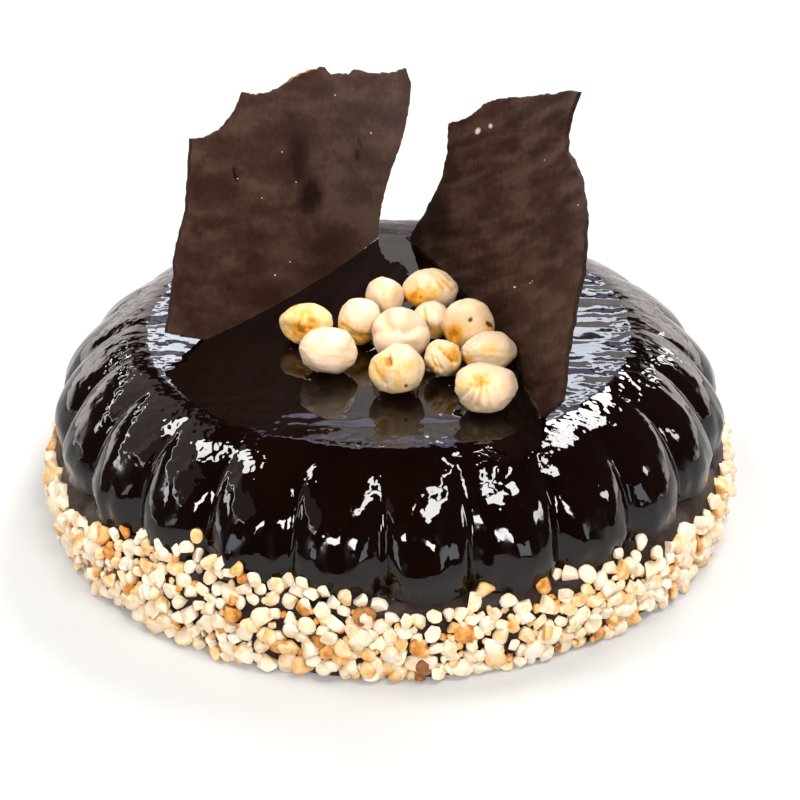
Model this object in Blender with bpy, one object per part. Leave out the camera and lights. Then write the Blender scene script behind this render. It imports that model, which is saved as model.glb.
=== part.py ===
"""Ice cream cake: a fluted, mirror-glazed round with a band of chopped hazelnuts round its foot,
twelve whole hazelnuts on its flat top, and two thin chocolate shards that stand in it as a V.

Metres, +Z up. The origin is the centre of the flat base, and the front of the cake looks along -Y.
Angles round the cake are counted from the front, towards +X.
"""
import math
import random

import bmesh
import bpy
from mathutils import Matrix, Vector

MM = 0.001

# Glazed round: a 20 cm fluted mould
CAKE_HEIGHT = 55.5 * MM
CREST_RADIUS = 100 * MM        # widest part, on the crest of a lobe
FLAT_TOP_RADIUS = 71 * MM      # the lobes run out at this rim
WIDEST_HEIGHT = 30.5 * MM
GLAZE_EDGE_RADIUS = 99.2 * MM  # crest radius where the nut band begins
GLAZE_EDGE_HEIGHT = 23.5 * MM
SHOULDER_POWER = 1.65          # 2 would be a quarter ellipse, less is flatter
LOBES = 24
LOBE_DEPTH = 5.0 * MM
LOBE_SHARPNESS = 0.93          # 1 makes half-round lobes with knife-sharp grooves
LOBE_RISE = 1.25               # how quickly the lobes deepen down the shoulder
GROOVE_TURN = math.radians(-1.0)
COLUMNS_PER_LOBE = 6
SHOULDER_RINGS = 6

# Band of chopped nuts: core radius at each height, then the loose-looking pieces fused to it
BAND_PROFILE = ((100.2 * MM, 0.0), (102.0 * MM, 6.0 * MM), (102.4 * MM, 12.5 * MM),
                (101.4 * MM, 19.0 * MM))
BAND_LOBE_DEPTH = 1.5 * MM
BAND_BUMP = 0.5 * MM
BASE_CLEARANCE = 0.2 * MM
NUT_ROWS = ((3.4 * MM, 48), (10.4 * MM, 48), (17.4 * MM, 48), (23.4 * MM, 12))
NUT_PIECE_HALF_SIZE = (2.8 * MM, 2.4 * MM, 2.0 * MM)
NUT_PIECE_CORNERS = 13
NUT_PIECE_STAND_OUT = 0.6 * MM
NUT_PIECE_ROOT = 2.6 * MM      # how far each piece reaches into the core
NUT_PIECE_SCALES = (0.85, 1.1)
NUT_PIECE_SHIFT = 0.25         # of the step to its neighbour, either way
NUT_PIECE_RISE = 1.2 * MM

# Chocolate shards: where the inner face meets the flat top (front end, back end), how far the sheet
# bows towards the nuts, and how far it leans back. The outline is (along the foot, up the sheet,
# bulge of the edge that follows), with the foot's front end as zero.
SHARD_THICKNESS = 1.3 * MM
SHARD_BURIED = 5.0 * MM
SHARD_BURIED_INSET = 2.0 * MM  # the buried foot is this much shorter at each end
SHARD_BEND_STEP = 15 * MM
SHARD_CUT_OFFSET = 0.37 * MM   # keeps the bend cuts off the outline's corners
SHARD_MERGE = 1e-4 * MM
BULGE_STEPS = 1.2              # arc points for each millimetre that a broken edge bulges
FIT_GAP = 0.3 * MM
SLOT_END_ROOM = 2.0 * MM
SLOT_HEADROOM = 4.0 * MM
SHARDS = {
    "chocolate_shard_left": {
        "foot": ((-53.9 * MM, -9.4 * MM), (-3.8 * MM, 60.4 * MM)),
        "bow": 3.0 * MM,
        "lean": math.radians(11),
        "outline": ((0, 0, 0), (86, 0, -2.3), (105, 19.5, 2), (125.5, 38.5, 0), (123.5, 44.5, -1.5),
                    (90, 54.5, 0), (85.5, 54, 0.5), (75.5, 57, 0), (73, 60.5, 0.5), (57, 62.3, -1.5),
                    (36, 63.5, 0), (33.5, 65, -4), (10, 58.5, 0), (3.3, 39, 1), (-6.2, 21, 0),
                    (-12.3, 7, 0)),
    },
    "chocolate_shard_right": {
        "foot": ((42.0 * MM, -55.3 * MM), (5.5 * MM, 61.0 * MM)),
        "bow": -4.4 * MM,
        "lean": math.radians(7),
        "outline": ((0, 0, 0), (121, 0, -0.5), (105, 26.5, -1.6), (105, 45.5, 0), (99.5, 48.2, -0.7),
                    (84, 59.4, 0.4), (69.3, 67, 0), (33, 82, 0.5), (14.5, 89.5, -0.6), (19.3, 75.5, 0),
                    (16.2, 71.8, 1.6), (-3.4, 67.8, 2.2), (-14.6, 54, 0.2), (-13, 32, -0.8),
                    (-17, 14.5, 0)),
    },
}

# Whole blanched hazelnuts: place on the top, half sizes across, in depth and in height in
# millimetres, and where the pointed end looks (degrees round from the front, degrees up).
HAZELNUTS = (
    (-23.9, -10.2, 7.6, 6.6, 5.8, -75, 10),
    (-17.2, -28.7, 8.6, 7.4, 6.4, 80, -5),
    (-8.4, -11.0, 6.2, 6.5, 6.9, -20, -60),
    (-1.3, 5.1, 5.6, 6.3, 6.2, 150, 35),
    (12.2, 9.4, 8.0, 7.1, 6.3, -160, 15),
    (3.2, -20.8, 8.1, 7.8, 7.8, 10, 80),
    (12.7, -7.4, 6.3, 5.7, 5.3, 15, -40),
    (22.9, -15.8, 7.6, 5.5, 8.1, -50, -50),
    (2.4, -40.5, 7.5, 7.2, 6.9, 175, 60),
    (15.3, -31.4, 5.2, 5.2, 5.5, -130, 40),
    (28.3, -27.2, 8.1, 6.0, 5.4, 100, 0),
    (26.6, -51.0, 8.6, 7.6, 6.6, 170, -20),
)
HAZELNUT_SEGMENTS = 12
HAZELNUT_RINGS = 9
NECK_HEIGHT = 0.78             # the shape's figures are shares of the half size
NECK_WIDTH = 0.2
NECK_DEPTH = 0.06
FLAT_END_DEPTH = 0.07
SIDE_DEPTH = 0.015             # the faint three-sidedness

SMOOTH_ANGLE = math.radians(35)
SEED = 24


def clear_scene():
    for thing in list(bpy.data.objects):
        bpy.data.objects.remove(thing, do_unlink=True)


def make_material(name, colour, roughness, coat=0.0):
    material = bpy.data.materials.new(name)
    material.use_nodes = True
    shader = material.node_tree.nodes["Principled BSDF"]
    shader.inputs["Base Color"].default_value = (*colour, 1)
    shader.inputs["Roughness"].default_value = roughness
    shader.inputs["Coat Weight"].default_value = coat
    shader.inputs["Metallic"].default_value = 0
    return material


def add_object(name, mesh, material=None, collection=None):
    thing = bpy.data.objects.new(name, mesh)
    (collection or bpy.context.scene.collection).objects.link(thing)
    if material:
        mesh.materials.append(material)
    return thing


def mesh_from_bmesh(name, bm):
    bmesh.ops.recalc_face_normals(bm, faces=bm.faces)
    if bm.calc_volume(signed=True) < 0:
        bmesh.ops.reverse_faces(bm, faces=bm.faces)
    mesh = bpy.data.meshes.new(name)
    bm.to_mesh(mesh)
    bm.free()
    return mesh


def shade_round(mesh):
    """Smooth shading over the curved faces, and crisp edges left crisp."""
    mesh.shade_smooth()
    mesh.set_sharp_from_angle(angle=SMOOTH_ANGLE)


# Glazed round with its nut band ------------------------------------------------------------------

def lobe_height(angle):
    """0 in a groove between two lobes, 1 on a crest."""
    across = ((angle - GROOVE_TURN) * LOBES / math.tau) % 1
    valley = math.sqrt(1 - LOBE_SHARPNESS)
    arch = math.sqrt(1 - LOBE_SHARPNESS * (2 * across - 1) ** 2)
    return (arch - valley) / (1 - valley)


def body_profile():
    """Rings from the base up to the flat top: crest radius, height, lobe depth, bump."""
    rings = []
    for radius, height in BAND_PROFILE:
        rings.append((radius, height, BAND_LOBE_DEPTH, BAND_BUMP if height else 0.0))
    rings.append((GLAZE_EDGE_RADIUS, GLAZE_EDGE_HEIGHT, LOBE_DEPTH, 0.0))
    for step in range(SHOULDER_RINGS + 1):
        turn = math.pi / 2 * step / SHOULDER_RINGS
        out = math.cos(turn) ** (2 / SHOULDER_POWER)
        up = math.sin(turn) ** (2 / SHOULDER_POWER)
        radius = FLAT_TOP_RADIUS + (CREST_RADIUS - FLAT_TOP_RADIUS) * out
        height = WIDEST_HEIGHT + (CAKE_HEIGHT - WIDEST_HEIGHT) * up
        rings.append((radius, height, LOBE_DEPTH * out ** LOBE_RISE, 0.0))
    return rings


def skin_radius(angle, height):
    """How far out the round's side is, in a direction and at a height."""
    rings = body_profile()
    for (low_r, low_z, low_depth, _), (high_r, high_z, high_depth, _) in zip(rings, rings[1:]):
        if height <= high_z:
            share = max(0.0, height - low_z) / (high_z - low_z)
            radius = low_r + (high_r - low_r) * share
            depth = low_depth + (high_depth - low_depth) * share
            return radius - depth * (1 - lobe_height(angle))
    return 0.0


def round_mesh(draw):
    """The glazed round and the bumpy core of its nut band, as one closed skin."""
    bm = bmesh.new()
    columns = LOBES * COLUMNS_PER_LOBE
    rings = []
    for radius, height, depth, bump in body_profile():
        ring = []
        for column in range(columns):
            angle = GROOVE_TURN + math.tau * column / columns
            r = radius - depth * (1 - lobe_height(angle)) + draw.uniform(-bump, bump)
            z = height + draw.uniform(-bump, bump)
            ring.append(bm.verts.new((r * math.sin(angle), -r * math.cos(angle), z)))
        rings.append(ring)
    for below, above in zip(rings, rings[1:]):
        for column in range(columns):
            following = (column + 1) % columns
            bm.faces.new((below[column], below[following], above[following], above[column]))
    bm.faces.new(list(reversed(rings[0])))
    bm.faces.new(rings[-1])
    bmesh.ops.triangulate(bm, faces=[f for f in bm.faces if len(f.verts) == 4])
    return mesh_from_bmesh("round", bm)


def nut_piece_mesh(draw, angle, height, scale):
    """One angular chip of chopped nut: the hull of random points on a squashed, turned ball."""
    bm = bmesh.new()
    turn = Matrix.Rotation(draw.uniform(0, math.tau), 3, "X") @ Matrix.Rotation(
        draw.uniform(0, math.tau), 3, "Z")
    outward = Vector((math.sin(angle), -math.cos(angle), 0))
    middle = outward * (skin_radius(angle, height) + NUT_PIECE_STAND_OUT) + Vector((0, 0, height))
    corners = [middle - outward * NUT_PIECE_ROOT]
    for _ in range(NUT_PIECE_CORNERS):
        ball = Vector([draw.gauss(0, 1) for _ in range(3)]).normalized()
        corner = Vector([b * half * scale for b, half in zip(ball, NUT_PIECE_HALF_SIZE)])
        corners.append(middle + turn @ corner)
    sunk = BASE_CLEARANCE - min(c.z for c in corners)
    lift = Vector((0, 0, max(0.0, sunk)))
    for corner in corners:
        bm.verts.new(corner + lift)
    hull = bmesh.ops.convex_hull(bm, input=bm.verts)
    spare = dict.fromkeys(hull["geom_interior"] + hull["geom_unused"])
    inside = [v for v in spare if isinstance(v, bmesh.types.BMVert)]
    bmesh.ops.delete(bm, geom=inside, context="VERTS")
    return mesh_from_bmesh("nut_piece", bm)


def nut_pieces(draw, collection):
    """Rows of chips round the band, each row half a step on from the one below."""
    count = 0
    for row, (height, pieces) in enumerate(NUT_ROWS):
        step = math.tau / pieces
        for piece in range(pieces):
            shift = draw.uniform(-NUT_PIECE_SHIFT, NUT_PIECE_SHIFT)
            angle = step * (piece + 0.5 * (row % 2) + shift)
            place = height + draw.uniform(-NUT_PIECE_RISE, NUT_PIECE_RISE)
            mesh = nut_piece_mesh(draw, angle, place, draw.uniform(*NUT_PIECE_SCALES))
            count += 1
            add_object(f"nut_piece_{count:03d}", mesh, collection=collection)


# Chocolate shards --------------------------------------------------------------------------------

def sheet_point(shard, along, up, out):
    """A point of a bent, leaning sheet: along its foot, up it, and out of its inner face."""
    start, end = (Vector((x, y, CAKE_HEIGHT)) for x, y in shard["foot"])
    run = (end - start).normalized()
    level = run.cross(Vector((0, 0, 1)))
    if level.y > 0:
        level.negate()
    lean = shard["lean"]
    rise = Vector((0, 0, 1)) * math.cos(lean) - level * math.sin(lean)
    facing = level * math.cos(lean) + Vector((0, 0, 1)) * math.sin(lean)
    length = (end - start).length
    bow = shard["bow"] * (1 - (2 * along / length - 1) ** 2)
    return start + run * along + rise * up + facing * (bow + out)


def edge_points(start, end, bulge):
    """Points from start up to end, the last left out, along an arc that stands out by the bulge."""
    steps = 1 + math.ceil(abs(bulge) * BULGE_STEPS)
    run = Vector(end) - Vector(start)
    outward = Vector((run.y, -run.x)).normalized()
    points = []
    for step in range(steps):
        share = step / steps
        points.append(Vector(start) + run * share + outward * bulge * 4 * share * (1 - share))
    return points


def shard_outline(shard):
    """The broken sheet's edge, anticlockwise seen from its inner face, in metres."""
    points = []
    corners = shard["outline"]
    for (x, y, bulge), (next_x, next_y, _) in zip(corners, corners[1:] + corners[:1]):
        points += edge_points((x, y), (next_x, next_y), bulge)
    points = [p * MM for p in points]
    foot_end = next(p for p in points[1:] if p.y <= 0)
    buried = [Vector((SHARD_BURIED_INSET, -SHARD_BURIED)),
              Vector((foot_end.x - SHARD_BURIED_INSET, -SHARD_BURIED))]
    return points[:1] + buried + points[1:]


def bent_prism(shard, outline, inner, outer):
    """A flat outline given thickness, cut across at regular steps and bent to the sheet's bow."""
    bm = bmesh.new()
    face = bm.faces.new([bm.verts.new((p.x, p.y, inner)) for p in outline])
    block = bmesh.ops.extrude_face_region(bm, geom=[face])
    moved = [v for v in block["geom"] if isinstance(v, bmesh.types.BMVert)]
    bmesh.ops.translate(bm, verts=moved, vec=(0, 0, outer - inner))
    low = min(p.x for p in outline)
    cuts = int((max(p.x for p in outline) - low) / SHARD_BEND_STEP)
    for cut in range(1, cuts + 1):
        place = Vector((low + cut * SHARD_BEND_STEP - SHARD_CUT_OFFSET, 0, 0))
        geometry = bm.verts[:] + bm.edges[:] + bm.faces[:]
        bmesh.ops.bisect_plane(
            bm, geom=geometry, dist=SHARD_MERGE, plane_co=place, plane_no=(1, 0, 0))
    bmesh.ops.triangulate(bm, faces=bm.faces)
    for vertex in bm.verts:
        vertex.co = sheet_point(shard, *vertex.co)
    return mesh_from_bmesh("sheet", bm)


def slot_mesh(shard):
    """The slot that a shard stands in: its buried foot with the fit gap all round."""
    outline = shard_outline(shard)
    buried = [p.x for p in outline if p.y <= 0]
    low = min(buried) - SLOT_END_ROOM
    high = max(buried) + SLOT_END_ROOM
    floor = -SHARD_BURIED - FIT_GAP
    corners = ((low, floor), (high, floor), (high, SLOT_HEADROOM), (low, SLOT_HEADROOM))
    box = [Vector(c) for c in corners]
    return bent_prism(shard, box, FIT_GAP, -SHARD_THICKNESS - FIT_GAP)


def make_shards(material):
    for name, shard in SHARDS.items():
        mesh = bent_prism(shard, shard_outline(shard), 0, -SHARD_THICKNESS)
        mesh.name = name
        shade_round(mesh)
        add_object(name, mesh, material)


# Whole hazelnuts ---------------------------------------------------------------------------------

def hazelnut_mesh(name, nut, draw):
    """A nut with a pointed end, a flattened base and a faintly three-sided body, on the flat top."""
    x, y, half_x, half_y, half_z, tip_turn, tip_up = nut
    turn, up = math.radians(tip_turn), math.radians(tip_up)
    tip = Vector((math.sin(turn) * math.cos(up), -math.cos(turn) * math.cos(up), math.sin(up)))
    pose = tip.to_track_quat("Z", "Y")
    twist = draw.uniform(0, math.tau)
    bm = bmesh.new()
    bmesh.ops.create_uvsphere(bm, u_segments=HAZELNUT_SEGMENTS, v_segments=HAZELNUT_RINGS, radius=1)
    for vertex in bm.verts:
        toward_tip = vertex.co.z
        around = math.atan2(vertex.co.y, vertex.co.x)
        waist = 1 - toward_tip ** 2
        shrink = NECK_DEPTH * math.exp(-((toward_tip - NECK_HEIGHT) / NECK_WIDTH) ** 2)
        shrink += FLAT_END_DEPTH * max(0.0, -toward_tip) ** 8
        shrink += SIDE_DEPTH * waist * (1 + math.cos(3 * around + twist))
        ball = pose @ (vertex.co * (1 - shrink))
        vertex.co = Vector((ball.x * half_x, ball.y * half_y, ball.z * half_z)) * MM
    drop = CAKE_HEIGHT + FIT_GAP - min(v.co.z for v in bm.verts)
    bmesh.ops.translate(bm, verts=bm.verts, vec=(x * MM, y * MM, drop))
    bmesh.ops.triangulate(bm, faces=bm.faces)
    mesh = mesh_from_bmesh(name, bm)
    mesh.shade_smooth()
    return mesh


def make_hazelnuts(material, draw):
    for number, nut in enumerate(HAZELNUTS, start=1):
        name = f"hazelnut_{number:02d}"
        add_object(name, hazelnut_mesh(name, nut, draw), material)


# Assembly ----------------------------------------------------------------------------------------

def add_boolean(thing, operation, collection):
    cut = thing.modifiers.new(operation.lower(), "BOOLEAN")
    cut.operation = operation
    cut.operand_type = "COLLECTION"
    cut.collection = collection
    cut.solver = "EXACT"


def make_cake_body(material, draw):
    """The round with the shards' slots cut in and the chips of its nut band fused on."""
    slots = bpy.data.collections.new("shard_slots")
    chips = bpy.data.collections.new("nut_pieces")
    for collection in (slots, chips):
        bpy.context.scene.collection.children.link(collection)
    body = add_object("cake_body", round_mesh(draw), material)
    for name, shard in SHARDS.items():
        add_object(name + "_slot", slot_mesh(shard), collection=slots)
    nut_pieces(draw, chips)
    add_boolean(body, "UNION", chips)
    add_boolean(body, "DIFFERENCE", slots)
    bpy.context.view_layer.update()
    graph = bpy.context.evaluated_depsgraph_get()
    joined = bpy.data.meshes.new_from_object(body.evaluated_get(graph), depsgraph=graph)
    body.modifiers.clear()
    body.data = joined
    joined.name = "cake_body"
    shade_round(joined)
    for collection in (slots, chips):
        for thing in list(collection.objects):
            bpy.data.objects.remove(thing, do_unlink=True)
        bpy.data.collections.remove(collection)


def main():
    clear_scene()
    draw = random.Random(SEED)
    glaze = make_material("mirror_glaze", (0.020, 0.010, 0.008), 0.06, coat=1.0)
    chocolate = make_material("dark_chocolate", (0.055, 0.034, 0.027), 0.45)
    blanched = make_material("blanched_hazelnut", (0.85, 0.72, 0.50), 0.5)
    make_cake_body(glaze, draw)
    make_shards(chocolate)
    make_hazelnuts(blanched, draw)


main()
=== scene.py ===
"""Ice cream cake, dressed: the mirror-glazed fluted round, its band of chopped hazelnuts, twelve
whole blanched hazelnuts and two chocolate shards, each over the solid of the same name.

Metres, +Z up. The origin is the centre of the flat base, and the front of the cake looks along -Y.
Angles round the cake are counted from the front, towards +X.
"""
import math
import random

import bpy
from mathutils import Matrix, Vector, noise


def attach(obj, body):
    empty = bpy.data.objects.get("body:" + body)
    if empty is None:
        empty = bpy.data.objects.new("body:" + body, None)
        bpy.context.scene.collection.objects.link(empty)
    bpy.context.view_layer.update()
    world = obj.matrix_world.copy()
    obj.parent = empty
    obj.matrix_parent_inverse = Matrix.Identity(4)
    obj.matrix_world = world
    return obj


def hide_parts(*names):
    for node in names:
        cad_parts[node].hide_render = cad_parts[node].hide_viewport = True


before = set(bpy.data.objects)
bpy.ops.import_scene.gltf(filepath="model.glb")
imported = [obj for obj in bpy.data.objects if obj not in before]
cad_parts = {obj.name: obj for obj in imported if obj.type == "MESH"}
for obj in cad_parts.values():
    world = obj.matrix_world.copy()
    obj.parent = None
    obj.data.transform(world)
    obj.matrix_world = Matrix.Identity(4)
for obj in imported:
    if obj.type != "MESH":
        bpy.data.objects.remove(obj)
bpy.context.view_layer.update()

MM = 0.001

# Glazed round
CAKE_HEIGHT = 55.5 * MM
CREST_RADIUS = 100 * MM
FLAT_TOP_RADIUS = 71 * MM
WIDEST_HEIGHT = 30.5 * MM
GLAZE_EDGE_RADIUS = 99.2 * MM
GLAZE_EDGE_HEIGHT = 23.5 * MM
BARE_CORE_HEIGHT = 23 * MM
SHOULDER_POWER = 1.65
LOBES = 24
LOBE_DEPTH = 5.0 * MM
LOBE_SHARPNESS = 0.93
LOBE_RISE = 1.25
GROOVE_TURN = math.radians(-1.0)
GROOVE_SOFTNESS = 0.16
COLUMNS = LOBES * 22
LOWER_RINGS = (0.35, 0.7)       # on the way from the glaze's edge to the widest part
SHOULDER_RINGS = 26
TOP_RING_STEP = 2.6 * MM
RIM_RING_STEP = 0.9 * MM        # close rings where the poured top is rippled
RIM_RIPPLES = (50 * MM, 62 * MM)        # where they start and where they are full

# Slow waves of the glaze on the lobes: height all over, more of it low down and high up (mm), how
# wide they are (mm), how much of their place's height counts, and their seed
GLAZE_WAVES = ((0.34, 0, 0, 11, 0.6, 3), (0.10, 0.24, 0.06, 5, 1, 7), (0.02, 0, 0.04, 2.4, 1, 8),
               (0, 0.7, 0, 3.8, 0.45, 21))
GLAZE_RUNS = (0.34, 0.3)                # runs down the side: height, and more of it low down (mm)
RUN_WIDTH = 4.2 * MM
RUN_LENGTH = 22 * MM
LOBES_UNLIKE = 0.25                     # how far one lobe swells more than the next (mm)
LOW_DOWN = (40 * MM, 30 * MM)
HIGH_UP = (38 * MM, 48 * MM)
WAVES_FULL_AFTER = 12 * MM              # outwards from the flat top
# Ripples of the flat top: height all over and more at the rim (mm), width (mm), squeeze, seed
TOP_RIPPLES = ((0.04, 0, 11, 1, 5), (0, 0.08, 2.8, 0.4, 18), (0, 0.24, 5.5, 0.32, 17))
TOP_LIP = 0.05
TOP_LIP_WIDTH = 1.6 * MM

# Core of the nut band, under the chips: crest radius and height
BAND_PROFILE = [(radius * MM, z * MM) for radius, z in (
    (99.6, 0), (100.6, 1.5), (101.2, 4), (101.6, 8), (101.8, 12), (101.6, 16), (101, 19.5), (100, 22))]
BAND_LOBE_DEPTH = 1.5 * MM

# Chips of chopped hazelnut
CHIP_KINDS = 10
CHIP_HALF_SIZE = (2.6 * MM, 2.2 * MM, 1.8 * MM)
CHIP_CUTS = (0.42, 0.68)        # how far from a chip's middle the knife goes through
CHIP_SPACING = 3.45 * MM
CHIP_SIZES = (0.76, 1.34)
CHIP_TRIES = 26000
CHIP_TILT = 0.45
CHIP_OUT = 0.6 * MM             # how far a chip's middle stands off the core
CHIP_TONES = ((0.76, 0.0, 0.20), (0.935, 0.20, 0.45), (0.99, 0.45, 0.70), (1.0, 0.75, 0.95))
SECOND_LAYER = 0.25             # share of the chips that carry one more
SECOND_SIZES = (0.7, 1.05)
SECOND_OUT = 1.95 * MM
CRUMB_SPACING = 2.0 * MM
CRUMB_SIZES = (0.38, 0.62)
CRUMB_TRIES = 2600
CRUMB_OUT = (0.35, 1.15)
CRUMB_TOAST = 0.22
STRAY_EVERY = 60                # one try in so many may stick above the band
STRAY_ABOVE = 3.0 * MM
BAND_TOP = ((-180, 21), (-70, 19.5), (-56, 19), (-48, 25), (-40, 30), (-31, 32.5), (-22, 31),
            (-11, 28.5), (-5, 25), (3, 20.5), (9, 21.2), (14, 25), (19, 23), (30, 23), (42, 22),
            (50, 19.5), (70, 19), (180, 21))      # degrees from the front, height in millimetres
BAND_TOP_RAGGED = 1.6
BAND_TOP_SPARSE = 3.0 * MM
BAND_TOP_SKIPPED = 0.45
BASE_CLEARANCE = 0.2 * MM

# Chocolate shards, as the solids: foot, bow and lean, and the outline's corners in millimetres
# (along the foot, up, bulge of the edge that follows). Then the brushed ridges and streaks of each
# sheet and its marks: along the foot, up, radius (mm), squeeze upwards and, if not 1, strength.
# Some of the smudges are painted shade: the widest on the left sheet darkens it towards its foot,
# and the two on the right sheet darken its lower corner by the left sheet.
SHARD_THICKNESS = 1.3 * MM
SHARD_BURIED = 5.0 * MM
SHARD_BURIED_INSET = 2.0 * MM
SHARD_GRID = 1.4 * MM
SHARD_EDGE_STEP = 0.8 * MM
SHARD_RAGGED = 0.42 * MM
SHARD_EDGE_BEVEL = 0.18 * MM
SHARD_WAVES = ((0.12, 17, 9), (0.05, 6, 12))        # height and width in millimetres, seed
SHARD_RIDGE = (2.1 * MM, 22 * MM)
SHARDS = {
    "chocolate_shard_left": {
        "foot": ((-53.9 * MM, -9.4 * MM), (-3.8 * MM, 60.4 * MM)),
        "bow": 3.0 * MM,
        "lean": math.radians(11),
        "outline": ((0, 0, 0), (86, 0, -2.3), (105, 19.5, 2), (125.5, 38.5, 0), (123.5, 44.5, -1.5),
                    (90, 54.5, 0), (85.5, 54, 0.5), (75.5, 57, 0), (73, 60.5, 0.5), (57, 62.3, -1.5),
                    (36, 63.5, 0), (33.5, 65, -4), (10, 58.5, 0), (3.3, 39, 1), (-6.2, 21, 0),
                    (-12.3, 7, 0)),
        "ridges": (Vector((0.2, 1)), Vector((1, -0.2))),
        "ridge_height": 0.02,
        "streaks": (22, 8, -20),
        # Smudges; the last and widest is painted shade, darkening the sheet towards its foot.
        "smudges_and_shade": ((52, 38.5, 6.6, 1.5, 0.85), (54.5, 25.5, 9.2, 0.95, 1),
                    (47.5, 16.5, 5.5, 1.5, 0.5), (82, 29.3, 2.6, 0.8, 0.9),
                    (84.5, 32, 1, 2.6, 0.8), (23.5, 43, 1, 2.2, 1),
                    (4.8, 31, 2.2, 2.4, 0.4), (40, 2, 60, 0.5, 0.22)),
        "specks": ((44.8, 42.9, 0.45, 0.54), (75.4, 50.8, 0.5, 0.54), (92.2, 33, 0.55, 0.54),
                   (32.5, 32.7, 0.4, 0.54), (31.9, 8.4, 0.5, 0.54), (39.4, 9.8, 0.45, 0.54),
                   (48.7, 32, 0.5, 0.54), (24.2, 41.6, 0.4, 0.54)),
        "speck_turn": -25,
        "amber": ((62.5, 62, 11, 0.13),),
    },
    "chocolate_shard_right": {
        "foot": ((42.0 * MM, -55.3 * MM), (5.5 * MM, 61.0 * MM)),
        "bow": -4.4 * MM,
        "lean": math.radians(7),
        "outline": ((0, 0, 0), (121, 0, -0.5), (105, 26.5, -1.6), (105, 45.5, 0), (99.5, 48.2, -0.7),
                    (84, 59.4, 0.4), (69.3, 67, 0), (33, 82, 0.5), (14.5, 89.5, -0.6), (19.3, 75.5, 0),
                    (16.2, 71.8, 1.6), (-3.4, 67.8, 2.2), (-14.6, 54, 0.2), (-13, 32, -0.8),
                    (-17, 14.5, 0)),
        "ridges": (Vector((0.50, 0.87)), Vector((-0.87, 0.50))),
        "ridge_height": 0.45,
        "streaks": (26, 4.5, -30),
        # Both are painted shade, darkening the lower corner where this sheet meets the left one.
        "smudges_and_shade": ((104, 14, 16, 0.8, 0.8), (118, 4, 12, 0.6, 0.8)),
        "specks": ((84.2, 51.1, 2.4, 0.48), (76.4, 55.7, 1.7, 0.48), (40.1, 20.8, 1.2, 0.27),
                   (28.4, 27.6, 0.8, 0.3), (26.9, 28.9, 0.6, 0.3), (-1.6, 64.2, 0.7, 0.3),
                   (31.9, 63.2, 0.6, 0.3)),
        "speck_turn": -28,
        "amber": (),
    },
}

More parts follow.
